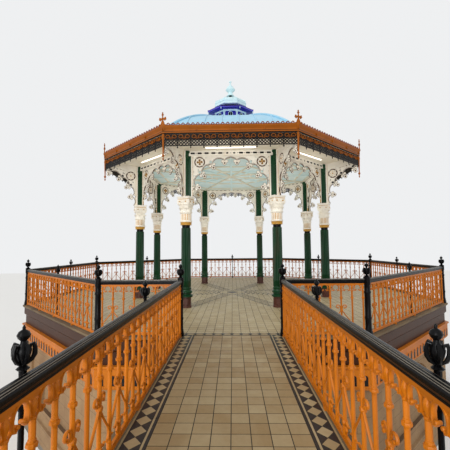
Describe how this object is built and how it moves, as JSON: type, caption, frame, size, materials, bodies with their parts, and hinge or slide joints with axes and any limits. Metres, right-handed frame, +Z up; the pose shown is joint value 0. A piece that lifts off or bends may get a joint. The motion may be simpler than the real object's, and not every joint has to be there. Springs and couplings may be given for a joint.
{
  "type": "bandstand",
  "caption": "Octagonal iron bandstand with cusped filigree arches, domed roof and lantern, on a railed deck reached by a footbridge.",
  "frame": {"origin": "ground level under the centre of the stage, on the underside of the base floor", "axes": "+Z up; the footbridge runs out towards -Y, so +Y is from the bridge into the bandstand and +X is to the right of someone walking in"},
  "size_m": [12.66, 19.785, 11.79],
  "materials": {
    "masonry": "painted render",
    "band_orange": "satin paint",
    "fascia_brown": "satin paint",
    "concrete": "plain",
    "kerb_stone": "honed",
    "tile_paving": "matt tiles with dark joints",
    "steel_dark": "satin paint",
    "rail_orange": "satin paint",
    "rail_black": "gloss paint",
    "plinth_brown": "satin paint",
    "column_green": "gloss paint",
    "capital_cream": "satin paint",
    "post_green": "satin paint",
    "filigree_cream": "satin paint",
    "ceiling_blue": "painted boards",
    "soffit_cream": "painted boards",
    "light_white": "opal",
    "eaves_orange": "satin paint",
    "dome_blue": "painted sheet",
    "lantern_blue": "gloss paint",
    "finial_pale": "satin paint"
  },
  "bodies": {
    "root": {"base_floor": "concrete", "base_plinth": "masonry", "base_walls": "masonry", "base_piers": "masonry", "base_cornice": "band_orange", "deck_fascia": "fascia_brown", "deck_slab": "concrete", "deck_kerb": "kerb_stone", "deck_paving": "tile_paving", "bridge_slab": "concrete", "bridge_girders": "steel_dark", "bridge_paving": "tile_paving", "bridge_kerbs": "kerb_stone", "bridge_abutment": "masonry", "deck_handrails": "rail_black", "bridge_handrails": "rail_black", "corner_newels": "rail_black", "gate_newels": "rail_black", "rail_standards": "rail_black", "column_plinths": "plinth_brown", "columns": "column_green", "capitals": "capital_cream", "upper_posts": "post_green", "arch_screens": "filigree_cream", "eaves_brackets": "filigree_cream", "arch_beam": "filigree_cream", "ceiling_panel": "ceiling_blue", "ceiling_ribs": "ceiling_blue", "eaves_soffit": "soffit_cream", "light_fittings": "light_white", "gutter": "eaves_orange", "eaves_valance": "eaves_orange", "roof_cresting": "eaves_orange", "corner_finials": "eaves_orange", "corner_drops": "eaves_orange", "main_dome": "dome_blue", "dome_hips": "dome_blue", "lantern_base": "lantern_blue", "lantern_roof": "lantern_blue", "lantern_cap": "finial_pale", "top_finial": "finial_pale", "deck_rail_front": "rail_orange", "deck_rail_front_right": "rail_orange", "deck_rail_right": "rail_orange", "deck_rail_back_right": "rail_orange", "deck_rail_back": "rail_orange", "deck_rail_back_left": "rail_orange", "deck_rail_left": "rail_orange", "deck_rail_front_left": "rail_orange", "bridge_rail_left": "rail_orange", "bridge_rail_right": "rail_orange"}
  },
  "joints": []
}
